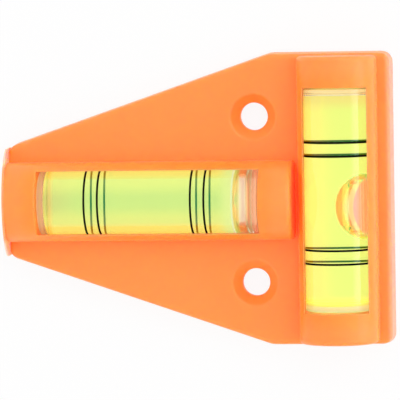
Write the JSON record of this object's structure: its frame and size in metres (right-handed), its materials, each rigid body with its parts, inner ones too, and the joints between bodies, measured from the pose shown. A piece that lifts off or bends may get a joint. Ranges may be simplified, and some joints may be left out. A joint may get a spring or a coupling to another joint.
{
  "type": "t-shaped bubble level",
  "caption": "Flat T-shaped level: a tapered plastic plate with screw holes carries one clear bubble vial along its stem and one across its head.",
  "frame": {"origin": "middle of the flat back face, halfway along the plate and halfway across it", "axes": "+X along the long vial from the narrow end to the wide end, +Y along the cross vial towards its plug, +Z out of the face with the windows"},
  "size_m": [0.0706, 0.053, 0.0141],
  "materials": {
    "housing_plastic": "satin",
    "clear_acrylic": "gloss",
    "level_liquid": "gloss",
    "air": "gloss",
    "black_ink": "satin"
  },
  "bodies": {
    "housing": {"housing": "housing_plastic", "long_vial_tube": "clear_acrylic", "long_vial_plug": "clear_acrylic", "long_vial_liquid": "level_liquid", "long_vial_ring_1": "black_ink", "long_vial_ring_2": "black_ink", "long_vial_ring_3": "black_ink", "long_vial_ring_4": "black_ink", "cross_vial_tube": "clear_acrylic", "cross_vial_plug": "clear_acrylic", "cross_vial_ring_1": "black_ink", "cross_vial_ring_2": "black_ink", "cross_vial_ring_3": "black_ink", "cross_vial_ring_4": "black_ink"},
    "long_bubble": {"long_vial_bubble": "air"},
    "cross_liquid": {"cross_vial_liquid": "level_liquid"},
    "cross_bubble": {"cross_vial_bubble": "air"}
  },
  "joints": [
    {"name": "long_bubble_slide", "type": "slide", "parent": "housing", "child": "long_bubble", "axis": [1, 0, 0], "range_m": [-0.0342, 0], "deforming": ["long_vial_liquid"]},
    {"name": "cross_liquid_turn", "type": "hinge", "parent": "housing", "child": "cross_liquid", "pos_m": [0.0256, 0, 0.00695], "axis": [0, 1, 0], "continuous": true},
    {"name": "cross_bubble_slide", "type": "slide", "parent": "cross_liquid", "child": "cross_bubble", "axis": [0, 1, 0], "range_m": [-0.0118, 0.0139], "deforming": ["cross_vial_liquid"]}
  ]
}
